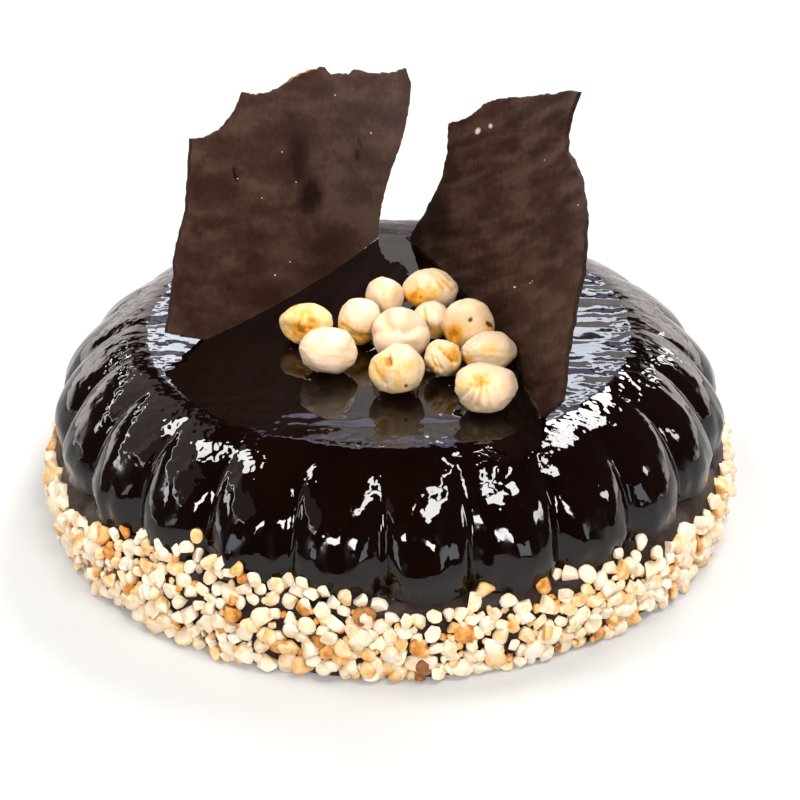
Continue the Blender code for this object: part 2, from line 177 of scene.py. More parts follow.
# Whole hazelnuts, as the solids: place, half sizes (mm), where the pointed end looks (degrees), and
# how toasted they are all over. Then their marks, placed (right, up) in half sizes as seen from the
# front and above: toasted spots and pits (radius, strength), creases (end, width, depth) and bumps
# (radius, height).
NUT_GAP = 0.3 * MM
NUT_SEGMENTS = 96
NUT_RINGS = 64
NUT_PLUMP = 0.045          # what the dents take off, given back all over
NUT_DENTS = ((0.045, 0.75, 20), (0.022, 0.28, 40), (0.007, 0.11, 50))       # depth, width, seed
NUT_NECK = (0.06, 0.78, 0.2)            # depth, place towards the point, width
NUT_RIBS = 0.026
NUT_VEINS = 11
VEIN_WIDTH = 0.05
NUT_FLATS = 5
FLAT_FROM = 0.80
HAZELNUTS = (
    {"form": (-23.9, -10.2, 7.6, 6.6, 5.8, -75, 10), "tone": 0.3,
     "toasted": ((-0.3, -0.3, 0.42, 0.75), (-0.1, 0.6, 0.22, 0.35), (0.25, 0.15, 0.3, 0.45)),
     "pits": ((0.65, -0.2, 0.08, 0.9), (-0.3, -0.35, 0.1, 0.6)),
     "creases": ((0.05, 0.9, 0.2, -0.5, 0.1, 0.25), (-0.1, 0.9, -0.35, -0.2, 0.08, 0.2)),
     "bumps": ((-0.9, 0.3, 0.35, 0.08),)},
    {"form": (-17.2, -28.7, 8.6, 7.4, 6.4, 80, -5), "tone": 0.02,
     "toasted": ((-0.35, 0.15, 0.35, 0.1), (0.35, -0.1, 0.3, 0.08)),
     "creases": ((-0.6, -0.05, 0.7, 0.05, 0.12, 0.06),)},
    {"form": (-8.4, -11, 6.2, 6.5, 6.9, -20, -60), "tone": 0.04,
     "toasted": ((-0.8, -0.2, 0.3, 0.55), (0.2, -0.85, 0.4, 0.6), (-0.4, -0.7, 0.35, 0.4)),
     "pits": ((-0.62, -0.05, 0.06, 0.45), (-0.8, -0.2, 0.05, 0.4)),
     "creases": ((-0.8, -0.2, -0.2, -0.6, 0.1, 0.2), (-0.6, -0.6, 0.1, -0.8, 0.07, 0.25),
                 (-0.1, -0.65, 0.5, -0.75, 0.07, 0.2)),
     "bumps": ((0.75, 0.3, 0.5, 0.07),)},
    {"form": (-1.3, 5.1, 5.6, 6.3, 6.2, 150, 35), "tone": 0.05,
     "toasted": ((-0.25, 0.45, 0.3, 0.2), (0.3, 0.1, 0.35, 0.22), (0, -0.3, 0.3, 0.2)),
     "creases": ((-0.4, 0.55, 0.1, 0.35, 0.1, 0.12),)},
    {"form": (12.2, 9.4, 8, 7.1, 6.3, -160, 15), "tone": 0.12,
     "toasted": ((-0.7, -0.42, 0.42, 0.72), (-0.15, -0.4, 0.4, 0.45), (0.5, 0.3, 0.25, 0.35),
                 (0.1, 0.05, 0.3, 0.3)),
     "pits": ((-0.1, 0.3, 0.1, 0.35),),
     "creases": ((0.3, 0.7, 0.85, 0, 0.08, 0.2), (0.1, 0.75, 0.55, 0, 0.08, 0.16))},
    {"form": (3.2, -20.8, 8.1, 7.8, 7.8, 10, 80), "tone": 0.03,
     "toasted": ((-0.3, 0.7, 0.3, 0.15), (0.25, 0.55, 0.25, 0.12), (0.6, -0.5, 0.3, 0.15)),
     "creases": ((-0.95, 0, -0.35, 0.14, 0.18, 0.36), (-0.35, 0.14, 0.2, 0.02, 0.18, 0.18),
                 (0.2, 0.02, 0.9, 0.3, 0.18, 0.32), (-0.6, 0.75, -0.5, 0.35, 0.2, 0.25)),
     "bumps": ((0, 0.75, 0.45, 0.04), (0.8, -0.1, 0.35, 0.05))},
    {"form": (12.7, -7.4, 6.3, 5.7, 5.3, 15, -40), "tone": 0.08,
     "toasted": ((0.2, -0.75, 0.35, 0.6), (-0.35, 0.2, 0.2, 0.25)),
     "creases": ((-0.45, 0.6, -0.3, -0.4, 0.09, 0.6), (0.1, 0.7, 0.7, 0.3, 0.08, 0.2))},
    {"form": (22.9, -15.8, 7.6, 5.5, 8.1, -50, -50), "tone": 0.1,
     "toasted": ((-0.6, -0.45, 0.42, 0.85), (0.75, -0.15, 0.2, 0.5), (0.2, 0.4, 0.4, 0.15)),
     "pits": ((0.03, 0, 0.09, 1), (0.1, 0.06, 0.06, 0.8), (0.72, -0.05, 0.11, 1),
              (0.85, -0.1, 0.09, 0.9)),
     "creases": ((-0.6, 0.6, -0.2, 0.9, 0.1, 0.2),)},
    {"form": (2.4, -40.5, 7.5, 7.2, 6.9, 175, 60), "tone": 0.12,
     "toasted": ((-0.33, 0.5, 0.17, 0.8), (-0.3, 0.3, 0.15, 0.8), (-0.6, 0, 0.4, 0.4),
                 (0.1, -0.6, 0.4, 0.3), (0.5, 0.1, 0.3, 0.25)),
     "pits": ((0.33, -0.65, 0.08, 1), (-0.33, 0.5, 0.09, 0.6), (-0.28, 0.33, 0.09, 0.55)),
     "creases": ((-0.35, 0.65, -0.27, 0.2, 0.1, 0.5), (0.05, 0.7, 0, -0.1, 0.16, 0.2),
                 (-0.9, 0.2, -0.5, -0.6, 0.1, 0.2)),
     "bumps": ((0.45, 0.75, 0.4, 0.1), (-0.65, 0.7, 0.35, 0.1), (0.15, 0.35, 0.15, 0.03))},
    {"form": (15.3, -31.4, 5.2, 5.2, 5.5, -130, 40), "tone": 0.12,
     "toasted": ((0.55, 0.2, 0.35, 0.75), (-0.6, -0.6, 0.3, 0.45), (0.5, -0.5, 0.3, 0.3)),
     "pits": ((-0.55, -0.55, 0.07, 0.6), (-0.25, -0.8, 0.07, 0.6)),
     "creases": ((-0.35, 0.75, 0.1, 0.25, 0.1, 0.7), (0.1, 0.25, 0.6, -0.25, 0.11, 0.8),
                 (-0.7, 0.1, -0.4, -0.5, 0.08, 0.3), (-0.4, 0, -0.1, -0.6, 0.08, 0.3))},
    {"form": (28.3, -27.2, 8.1, 6, 5.4, 100, 0), "tone": 0.08,
     "toasted": ((0.05, 0.05, 0.35, 0.4), (-0.85, -0.5, 0.3, 0.65), (0.6, -0.3, 0.3, 0.2)),
     "pits": ((-0.6, 0.1, 0.06, 0.25),),
     "creases": ((-0.2, 0.05, 0.8, -0.1, 0.1, 0.13), (-0.8, 0.3, -0.4, 0.7, 0.07, 0.2),
                 (-0.6, 0.15, -0.25, 0.5, 0.07, 0.12), (-0.2, -0.5, 0.5, -0.6, 0.08, 0.08)),
     "bumps": ((0.6, 0.6, 0.45, 0.06), (-0.7, 0.5, 0.35, 0.05))},
    {"form": (26.6, -51, 8.6, 7.6, 6.6, 170, -20), "tone": 0.05,
     "toasted": ((-0.15, 0.4, 0.3, 0.6), (-0.7, 0.1, 0.25, 0.4), (0.1, -0.2, 0.3, 0.25)),
     "pits": ((-0.15, 0.45, 0.1, 0.5),),
     "creases": ((-0.15, 0.3, -0.3, -0.8, 0.08, 0.42), (0, 0.2, 0.08, -0.9, 0.07, 0.26),
                 (0.15, 0.2, 0.5, -0.75, 0.09, 0.18), (-0.35, 0.3, -0.85, -0.4, 0.07, 0.36),
                 (0.2, 0.35, 0.85, -0.2, 0.07, 0.1), (-0.3, 0.1, -0.6, -0.7, 0.06, 0.3)),
     "bumps": ((-0.7, 0.75, 0.3, 0.06), (0.7, 0.7, 0.35, 0.08))},
)

# Glaze drawn up against the nuts and the shards' feet
NUT_MENISCUS = (0.8 * MM, 3.2 * MM)          # height and reach
FOOT_MENISCI = ((0.22 * MM, 0.6 * MM), (0.6 * MM, 1.3 * MM))
MENISCUS_SUNK = 0.35 * MM
BEAD_STEP = 1.6 * MM

# View and floor
CAMERA_PLACE = Vector((0.0032, -0.5961, 0.3653))
CAMERA_LOOK = Vector((0.0, 0.87165, -0.49013))
CAMERA_LENS = 102.0
CAMERA_SENSOR = 36.0
FLOOR_SIZE = 6.0

# Room, which only lights: a pale wall behind that fades upwards, into the corners and to the front
ROOM_TINT = (1.0, 0.91, 0.89)
ROOM_FADES_UP = -1.6
ROOM_FADES_ASIDE = -3.2
ROOM_PATCHES = 1.3
ROOM_FRONT = 0.46
ROOM_EDGE = (-0.05, 0.32)
ROOM_DIM_AND_BRIGHT = (0.02, 1.15)
ROOM_SIDES = (2.8, 0.95)                # how much brighter towards the sides, and in the middle

# Soft boxes: azimuth from behind towards +X, elevation, width, height (degrees), brightness and,
# where they differ, roll and tint
LIGHT_DISTANCE = 1.6
WHITE = (1.0, 0.99, 0.97)
BLUISH = (0.80, 0.87, 1.0)
VIOLET = (0.70, 0.60, 1.0)
ROSY = (1.0, 0.85, 0.84)
COOL = (0.86, 0.95, 1.0)
LIGHT_AIM = Vector((0, 0, 0.05))
SOFT_LIGHTS = {
    "window_back_right": (7, 28.4, 8, 3.6, 8.0, 0, BLUISH),
    "window_back_left": (-9, 26.5, 8, 5, 9.0, 0, BLUISH),
    "window_back_middle": (1, 36.5, 22, 7, 1.8, 0, VIOLET),
    "key_back_right": (33, 48, 34, 10, 24.0, -28),
    "key_left": (-72, 57, 20, 11, 26.0),
    "strip_front_right": (140, 62, 28, 9, 30.0),
    "strip_left": (-90, 22, 14, 4, 12.0),
    "fill_front_left": (-155, 34, 16, 6.5, 34.0, 28),
    "fill_front_right": (165, 30, 15, 6.5, 35.0, -30),
    "window_front_right": (139, 11, 11, 16, 3.8, 0, COOL),
    "window_front_left": (-128, 12, 11, 14, 3.8, 0, COOL),
}
MIRRORED_LIGHTS = {           # the same, seen only in what shines
    "key_high_right": (38, 60, 16, 8, 24.0),
    "strip_top_right": (111, 74, 26, 5, 28.0),
    "lamp_right": (97, 25, 10, 7, 20.0, 20),
    "lamp_back_right": (37, 21, 4, 13, 12.0),
    "wall_left": (-58, 39, 50, 24, 0.75, 0, ROSY),
    "sill_left": (-60, 27.0, 54, 1.1, 15.0),
    "wall_front_left": (-104, 42, 38, 18, 0.40, 0, ROSY),
    "sill_front_left": (-104, 32.5, 40, 1.0, 13.0),
}

SEED = 24


# Bench tools --------------------

def deselect_all():
    bpy.ops.object.select_all(action="DESELECT")


def pick(piece):
    """Makes one piece the only selected one and the active one."""
    deselect_all()
    piece.select_set(True)
    bpy.context.view_layer.objects.active = piece


def settle(piece):
    """Applies a piece's place, turn and size to its mesh."""
    pick(piece)
    bpy.ops.object.transform_apply(location=True, rotation=True, scale=True)


def new_piece(name):
    """Names the piece that was just made, and applies its place to its mesh."""
    piece = bpy.context.object
    piece.name = name
    settle(piece)
    return piece


def edit(piece):
    """Opens a piece's mesh with all of it selected."""
    pick(piece)
    bpy.ops.object.mode_set(mode="EDIT")
    all_of_it()


def all_of_it():
    bpy.ops.mesh.select_all(action="SELECT")


def done():
    bpy.ops.object.mode_set(mode="OBJECT")


def face_outwards():
    """Turns every face of the mesh that is being edited outwards."""
    all_of_it()
    bpy.ops.mesh.normals_make_consistent(inside=False)


def join(pieces, name, finish):
    """Joins pieces into the first of them, all in one finish."""
    deselect_all()
    for piece in pieces:
        piece.select_set(True)
    whole = pieces[0]
    bpy.context.view_layer.objects.active = whole
    bpy.ops.object.join()
    whole.name = name
    whole.data.materials.clear()
    whole.data.materials.append(finish)
    return whole


def store(mesh, name, values):
    """Keeps one number for each point of a mesh, for its material to read."""
    attribute = mesh.attributes.new(name, "FLOAT", "POINT")
    attribute.data.foreach_set("value", values)


def between(low, high, share):
    return low + (high - low) * share


def partway(value, start, end):
    """How far a value has come from start to end: 0 before, 1 past it."""
    return max(0.0, min(1.0, (value - start) / (end - start)))


def bell(off, width):
    """1 in the middle, fading out over about the given width."""
    return math.exp(-(off / width) ** 2)


def ripple(place, size, seed):
    """Smooth noise from about -1 to 1, with bumps of about the given size."""
    return noise.noise(Vector(place) / size + Vector((seed, seed * 0.37, seed * 0.71)))


def any_way(draw):
    """A direction picked by chance."""
    return Vector([draw.gauss(0, 1) for _ in range(3)]).normalized()


def around(angle, radius, height):
    """A point at an angle round the cake, counted from the front."""
    return Vector((radius * math.sin(angle), -radius * math.cos(angle), height))


# Finishes --------------------

class Nodes:
    """A tree of nodes, added in the order in which one works on the other."""

    def __init__(self, tree, coordinates):
        self.tree = tree
        self.here = self.add("ShaderNodeTexCoord").outputs[coordinates]

    def add(self, kind, values=None, **settings):
        """A node with its settings made, and its inputs linked or set."""
        node = self.tree.nodes.new(kind)
        for name, value in settings.items():
            setattr(node, name, value)
        for socket, value in (values or {}).items():
            self.put(node.inputs[socket], value)
        return node

    def put(self, socket, value):
        """Links a source to a socket, or sets a plain value on it."""
        if isinstance(value, bpy.types.NodeSocket):
            self.tree.links.new(value, socket)
        else:
            socket.default_value = value

    def work(self, operation, *values):
        """One step of arithmetic on sources and plain numbers."""
        node = self.add("ShaderNodeMath", dict(enumerate(values)), operation=operation)
        return node.outputs["Value"]

    def sum(self, a, b):
        return self.work("ADD", a, b)

    def times(self, a, b):
        return self.work("MULTIPLY", a, b)

    def reach(self, value, low, high, to_low=0.0, to_high=1.0, how="LINEAR"):
        """Takes a value from one range to another, and no further."""
        node = self.add("ShaderNodeMapRange", {
            "Value": value, "From Min": low, "From Max": high, "To Min": to_low,
            "To Max": to_high}, interpolation_type=how)
        return node.outputs["Result"]

    def cloud(self, scale, detail=3.0, rough=0.5, stretch=None, where=None):
        """Noise in bumps per metre, or on the given map, stretched if asked."""
        where = where or self.here
        if stretch:
            where = self.add("ShaderNodeMapping", {"Vector": where, "Scale": stretch}).outputs["Vector"]
        return self.add("ShaderNodeTexNoise", {"Vector": where, "Scale": scale, "Detail": detail,
                                               "Roughness": rough}).outputs["Fac"]


class Finish(Nodes):
    """A material whose nodes are added in the order that the paint and polish go on."""

    def __init__(self, name):
        self.material = bpy.data.materials.new(name)
        self.material.use_nodes = True
        super().__init__(self.material.node_tree, "Object")
        self.shader = self.tree.nodes["Principled BSDF"]

    def on_sheet(self):
        """Millimetres along a sheet's foot and up it, as kept in its map."""
        return self.add("ShaderNodeUVMap", uv_map="sheet").outputs["UV"]

    def turned(self, where, place, turn, size):
        """A map moved to a place, turned and counted in the given size."""
        node = self.add("ShaderNodeMapping", {
            "Vector": where, "Location": (*place, 0), "Rotation": (0, 0, math.radians(turn)),
            "Scale": (*size, 1)}, vector_type="TEXTURE")
        return node.outputs["Vector"]

    def length(self, where):
        return self.add("ShaderNodeVectorMath", {0: where}, operation="LENGTH").outputs["Value"]

    def spots(self, where, places, blur, turn=0, wobble=0.0):
        """Soft-edged spots (along, up, radius, squeeze across and, if not 1, strength) on 0."""
        if wobble:
            shaky = self.add("ShaderNodeTexNoise", {"Vector": where, "Scale": 0.35})
            push = self.add("ShaderNodeVectorMath", {
                0: shaky.outputs["Color"], 1: (2 * wobble, 2 * wobble, 0), 2: where},
                operation="MULTIPLY_ADD")
            where = push.outputs["Vector"]
        covered = None
        for along, up, radius, squeeze, *strength in places:
            near = self.turned(where, (along + wobble, up + wobble), turn, (radius, radius * squeeze))
            spot = self.reach(self.length(near), 1 - blur, 1.0, strength[0] if strength else 1.0, 0.0)
            covered = self.work("MAXIMUM", covered, spot) if covered else spot
        return covered

    def brushed(self, where, long, short, turn):
        """Noise drawn out into streaks of the given length and width, turned on the map."""
        return self.cloud(1, 3, 0.5, where=self.turned(where, (0, 0), turn, (long, short)))

    def from_axis(self):
        """How far from the cake's upright axis, in metres."""
        flat = self.add("ShaderNodeVectorMath", {0: self.here, 1: (1, 1, 0)}, operation="MULTIPLY")
        return self.length(flat.outputs["Vector"])

    def kept(self, name):
        """A number stored on the mesh."""
        return self.add("ShaderNodeAttribute", attribute_name=name).outputs["Fac"]

    def shades(self, value, stops):
        ramp = self.add("ShaderNodeValToRGB", {"Fac": value})
        elements = ramp.color_ramp.elements
        while len(elements) < len(stops):
            elements.new(0.5)
        for element, (place, colour) in zip(elements, stops):
            element.position = place
            element.color = (*colour, 1)
        return ramp.outputs["Color"]

    def mix(self, share, one, other):
        """One colour where the share is 0, and the other, a plain one, where it is 1."""
        node = self.add("ShaderNodeMix", {"Factor": share, 6: one, 7: (*other, 1)}, data_type="RGBA")
        return node.outputs[2]

    def bump(self, height, distance, strength=1.0, under=None):
        values = {"Height": height, "Distance": distance, "Strength": strength}
        if under:
            values["Normal"] = under
        return self.add("ShaderNodeBump", values).outputs["Normal"]

    def set(self, **sockets):
        for name, value in sockets.items():
            self.put(self.shader.inputs[name.replace("_", " ")], value)
        return self.material


def mirror_glaze():
    """Poured chocolate glaze: almost black and wet, smooth in the middle, rippled at the rim."""
    f = Finish("mirror_glaze")
    tone = f.cloud(38, 3)
    colour = f.shades(tone, ((0.3, (0.0024, 0.0006, 0.0003)), (0.7, (0.0046, 0.0012, 0.0007))))
    rough = f.reach(f.cloud(90, 4), 0.35, 0.75, 0.018, 0.042)
    runs = f.reach(f.cloud(240, 2, stretch=(1, 1, 0.14)), 0.48, 0.66, 0.0, 0.17)
    out = f.from_axis()
    rough = f.sum(rough, f.times(runs, f.reach(out, 0.089, 0.096)))
    poured = f.times(f.reach(out, 0.060, 0.076, 0.08, 1.0), f.reach(out, 0.080, 0.092, 1.0, 0.35))
    surface = f.bump(f.times(f.cloud(330, 1, 0.4), poured), 0.32 * MM)
    surface = f.bump(f.times(f.cloud(140, 2), poured), 0.4 * MM, 0.7, under=surface)
    return f.set(Base_Color=colour, Roughness=rough, IOR=1.40, Normal=surface)


def sticky_core():
    """Glaze under the chips, dulled by nut dust."""
    f = Finish("sticky_core")
    colour = f.shades(f.cloud(300, 3), ((0.35, (0.010, 0.0040, 0.0024)), (0.7, (0.030, 0.014, 0.008))))
    dust = f.bump(f.cloud(900, 2), 0.2 * MM, 0.5)
    return f.set(Base_Color=colour, Roughness=0.45, IOR=1.3, Normal=dust)


def chopped_hazelnut():
    """Chopped blanched nut: ivory cut faces, golden toasted ones, and a few brown."""
    f = Finish("chopped_hazelnut")
    tone = f.sum(f.kept("tone"), f.reach(f.cloud(380, 2), 0.42, 0.68, 0.0, 0.30))
    colour = f.shades(tone, ((0.0, (0.83, 0.735, 0.62)), (0.26, (0.81, 0.65, 0.45)),
                             (0.50, (0.78, 0.47, 0.18)), (0.74, (0.64, 0.25, 0.03)),
                             (1.0, (0.20, 0.07, 0.02))))
    grain = f.bump(f.cloud(1500, 3), 0.12 * MM, 0.5)
    rough = f.reach(f.cloud(500, 2), 0.3, 0.7, 0.42, 0.6)
    return f.set(Base_Color=colour, Roughness=rough, Normal=grain, IOR=1.46)


def blanched_hazelnut():
    """Skinned nut: waxy ivory, toasted in patches, with fine pores."""
    f = Finish("blanched_hazelnut")
    uneven = f.reach(f.cloud(420, 5, 0.7), 0.3, 0.7, -0.16, 0.20)
    toasted = f.sum(f.kept("toasted"), uneven)
    colour = f.shades(toasted, ((0.0, (0.79, 0.59, 0.43)), (0.25, (0.79, 0.56, 0.32)),
                                (0.50, (0.79, 0.47, 0.13)), (0.80, (0.74, 0.31, 0.014)),
                                (1.0, (0.46, 0.15, 0.012))))
    pits = f.reach(f.kept("pits"), 0.25, 0.8)
    colour = f.mix(pits, colour, (0.125, 0.036, 0.008))
    fine = f.bump(f.cloud(900, 4), 0.22 * MM, 0.6)
    rough = f.reach(f.cloud(300, 3), 0.3, 0.7, 0.38, 0.55)
    return f.set(Base_Color=colour, Roughness=rough, Normal=fine, IOR=1.46,
                 Subsurface_Weight=0.12, Subsurface_Scale=2 * MM)


def dark_chocolate(name, shard):
    """Thin dark chocolate: dull brown, brushed or smudged, with a few pale specks, and painted shade
    towards the foot of each sheet.
    """
    f = Finish(name)
    sheet = f.on_sheet()
    fine = f.cloud(420, 5, 0.7)
    lines = f.brushed(sheet, *shard["streaks"])
    mixed = f.sum(f.sum(f.times(f.cloud(26, 4), 0.30), f.times(fine, 0.20)), f.times(lines, 0.50))
    colour = f.shades(mixed, ((0.43, (0.034, 0.0150, 0.0097)), (0.5, (0.052, 0.0255, 0.0175)),
                              (0.57, (0.081, 0.0431, 0.0307))))
    # Smudges mixed in dark: partly real smears, partly painted shade towards the foot of each sheet.
    smear_and_shade = f.times(f.spots(sheet, shard["smudges_and_shade"], blur=0.65, wobble=2.2),
                    f.reach(fine, 0.3, 0.55, 0.85, 1.0))
    colour = f.mix(smear_and_shade, colour, (0.0110, 0.0022, 0.0006))
    colour = f.mix(f.spots(sheet, shard["specks"], blur=0.5, turn=shard["speck_turn"]), colour,
                   (0.72, 0.58, 0.52))
    rough = f.reach(lines, 0.35, 0.65, 0.48, 0.62)
    surface = f.bump(fine, 0.18 * MM, 0.5, under=f.bump(lines, 0.6 * MM, 0.5))
    return f.set(Base_Color=colour, Roughness=rough, Normal=surface, IOR=1.30,
                 Specular_IOR_Level=0.10)


def broken_chocolate(name, amber):
    """The broken edge of a sheet: darker and rougher than its faces, amber where it is thinnest."""
    f = Finish(name)
    colour = f.shades(f.cloud(700, 3), ((0.35, (0.018, 0.0085, 0.0055)),
                                        (0.65, (0.034, 0.0165, 0.0105))))
    if amber:
        thin = f.times(f.spots(f.on_sheet(), amber, blur=0.5),
                       f.reach(f.cloud(900, 2), 0.4, 0.6, 0.3, 1.0))
        colour = f.mix(thin, colour, (0.36, 0.10, 0.012))
    return f.set(Base_Color=colour, Roughness=0.7, IOR=1.30, Specular_IOR_Level=0.2,
                 Normal=f.bump(f.cloud(900, 3), 0.3 * MM, 0.6))


# Glazed round --------------------

def lobe_height(angle):
    """0 in a groove between two lobes, 1 on a crest, with the groove's bottom rounded."""
    across = ((angle - GROOVE_TURN) * LOBES / math.tau) % 1
    valley = math.sqrt(1 - LOBE_SHARPNESS)
    arch = math.sqrt(1 - LOBE_SHARPNESS * (2 * across - 1) ** 2)
    height = (arch - valley) / (1 - valley)
    soft = GROOVE_SOFTNESS
    return (math.hypot(height, soft) - soft) / (math.hypot(1, soft) - soft)


def core_radius(height):
    """Crest radius and lobe depth of the side, up to its widest part."""
    rings = [(radius, z, BAND_LOBE_DEPTH) for radius, z in BAND_PROFILE]
    rings.append((GLAZE_EDGE_RADIUS, GLAZE_EDGE_HEIGHT, LOBE_DEPTH))
    rings.append((CREST_RADIUS, WIDEST_HEIGHT, LOBE_DEPTH))
    for (low_r, low_z, low_depth), (high_r, high_z, high_depth) in zip(rings, rings[1:]):
        if height <= high_z:
            share = (height - low_z) / (high_z - low_z)
            return between(low_r, high_r, share), between(low_depth, high_depth, share)
    return CREST_RADIUS, LOBE_DEPTH


def side_radius(angle, height):
    radius, depth = core_radius(height)
    return radius - depth * (1 - lobe_height(angle))


def round_rings():
    """Crest radius and height of each ring from the base, over the shoulder, to the middle."""
    rings = BAND_PROFILE.copy()
    for share in (0.0, *LOWER_RINGS):
        rings.append((between(GLAZE_EDGE_RADIUS, CREST_RADIUS, share),
                      between(GLAZE_EDGE_HEIGHT, WIDEST_HEIGHT, share)))
    for step in range(SHOULDER_RINGS + 1):
        turn = math.pi / 2 * step / SHOULDER_RINGS
        out = max(0.0, math.cos(turn)) ** (2 / SHOULDER_POWER)
        up = math.sin(turn) ** (2 / SHOULDER_POWER)
        rings.append((between(FLAT_TOP_RADIUS, CREST_RADIUS, out),
                      between(WIDEST_HEIGHT, CAKE_HEIGHT, up)))
    radius = FLAT_TOP_RADIUS - RIM_RING_STEP
    while radius > TOP_RING_STEP:
        rings.append((radius, CAKE_HEIGHT))
        radius -= RIM_RING_STEP if radius > RIM_RIPPLES[0] else TOP_RING_STEP
    return rings


def glaze_wave(x, y, z, angle):
    """How far the poured glaze swells out of the side, in millimetres."""
    low, high = partway(z, *LOW_DOWN), partway(z, *HIGH_UP)
    runs = (math.cos(angle) * CREST_RADIUS / RUN_WIDTH, math.sin(angle) * CREST_RADIUS / RUN_WIDTH,
            z / RUN_LENGTH)
    lobe = int((angle - GROOVE_TURN) * LOBES / math.tau) % LOBES
    wave = (GLAZE_RUNS[0] + GLAZE_RUNS[1] * low) * ripple(runs, 1, 13)
    wave += LOBES_UNLIKE * ripple((lobe * 7.3, 0, 0), 1, 11)
    for height, more_low, more_high, width, squeeze, seed in GLAZE_WAVES:
        height += more_low * low + more_high * high
        wave += height * ripple((x, y, z * squeeze), width * MM, seed)
    return wave


def top_ripple(x, y, radius):
    """How far the poured glaze lifts off the flat top, in millimetres."""
    rim = partway(radius, *RIM_RIPPLES)
    lift = TOP_LIP * bell(radius - FLAT_TOP_RADIUS, TOP_LIP_WIDTH)
    for height, more_at_rim, width, squeeze, seed in TOP_RIPPLES:
        lift += (height + more_at_rim * rim) * ripple((x * squeeze, y, 0), width * MM, seed)
    return lift


def flute(mesh):
    """Sinks the grooves between the lobes and gives the poured glaze its slow waves."""
    for vertex in mesh.vertices:
        x, y, z = vertex.co
        radius = math.hypot(x, y)
        if radius < 1e-6:
            continue
        angle = math.atan2(x, -y)
        if z <= WIDEST_HEIGHT:
            depth = core_radius(z)[1]
        else:
            depth = LOBE_DEPTH * partway(radius, FLAT_TOP_RADIUS, CREST_RADIUS) ** LOBE_RISE
        wave, lift = 0.0, 0.0
        if z > GLAZE_EDGE_HEIGHT and radius > FLAT_TOP_RADIUS:
            share = partway(radius, FLAT_TOP_RADIUS, FLAT_TOP_RADIUS + WAVES_FULL_AFTER)
            wave = glaze_wave(x, y, z, angle) * share * MM
        if z > CAKE_HEIGHT - 0.5 * MM:
            lift = top_ripple(x, y, radius) * MM
        vertex.co = around(angle, radius - depth * (1 - lobe_height(angle)) + wave, z + lift)


def glazed_round(glaze, core):
    """Extruded ring by ring from the base circle, closed at the middle of the top, then fluted."""
    rings = round_rings()
    bpy.ops.mesh.primitive_circle_add(vertices=COLUMNS, radius=rings[0][0], fill_type="NGON")
    piece = new_piece("glazed_round")
    edit(piece)
    for (radius, height), (next_radius, next_height) in zip(rings, rings[1:]):
        bpy.ops.mesh.extrude_region_move(TRANSFORM_OT_translate={"value": (0, 0, next_height - height)})
        grow = next_radius / radius
        bpy.ops.transform.resize(value=(grow, grow, 1), center_override=(0, 0, next_height))
    bpy.ops.mesh.merge(type="CENTER")
    face_outwards()
    done()
    flute(piece.data)
    bpy.ops.object.shade_smooth()
    piece.data.materials.append(glaze)
    piece.data.materials.append(core)
    for polygon in piece.data.polygons:
        if polygon.center.z < BARE_CORE_HEIGHT:
            polygon.material_index = 1
    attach(piece, "root")
    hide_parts("cake_body")


# Band of chopped nuts --------------------

def chip_kind(number, fineness, draw):
    """One kind of chip: a ball cut by a few knife strokes and squashed."""
    bpy.ops.mesh.primitive_ico_sphere_add(subdivisions=fineness, radius=1)
    chip = new_piece(f"chip_kind_{number}")
    edit(chip)
    for _ in range(4 + number % 3):
        knife = any_way(draw)
        all_of_it()
        bpy.ops.mesh.bisect(plane_co=knife * draw.uniform(*CHIP_CUTS), plane_no=knife,
                            use_fill=True, clear_outer=True)
    all_of_it()
    bpy.ops.mesh.quads_convert_to_tris()
    face_outwards()
    done()
    for axis, half in enumerate(CHIP_HALF_SIZE):
        low = min(v.co[axis] for v in chip.data.vertices)
        high = max(v.co[axis] for v in chip.data.vertices)
        for vertex in chip.data.vertices:
            vertex.co[axis] = ((vertex.co[axis] - low) / (high - low) * 2 - 1) * half
    bpy.ops.object.shade_smooth_by_angle(angle=math.radians(48))
    return chip


def band_edge(angle):
    """Height that the chips reach, which is ragged and highest at the front left."""
    degrees = math.degrees(math.remainder(angle, math.tau))
    for (low, low_z), (high, high_z) in zip(BAND_TOP, BAND_TOP[1:]):
        if degrees <= high:
            break
    ragged = BAND_TOP_RAGGED * ripple((math.sin(angle) * 30, math.cos(angle) * 30, 0), 3, 2)
    return (between(low_z, high_z, (degrees - low) / (high - low)) + ragged) * MM


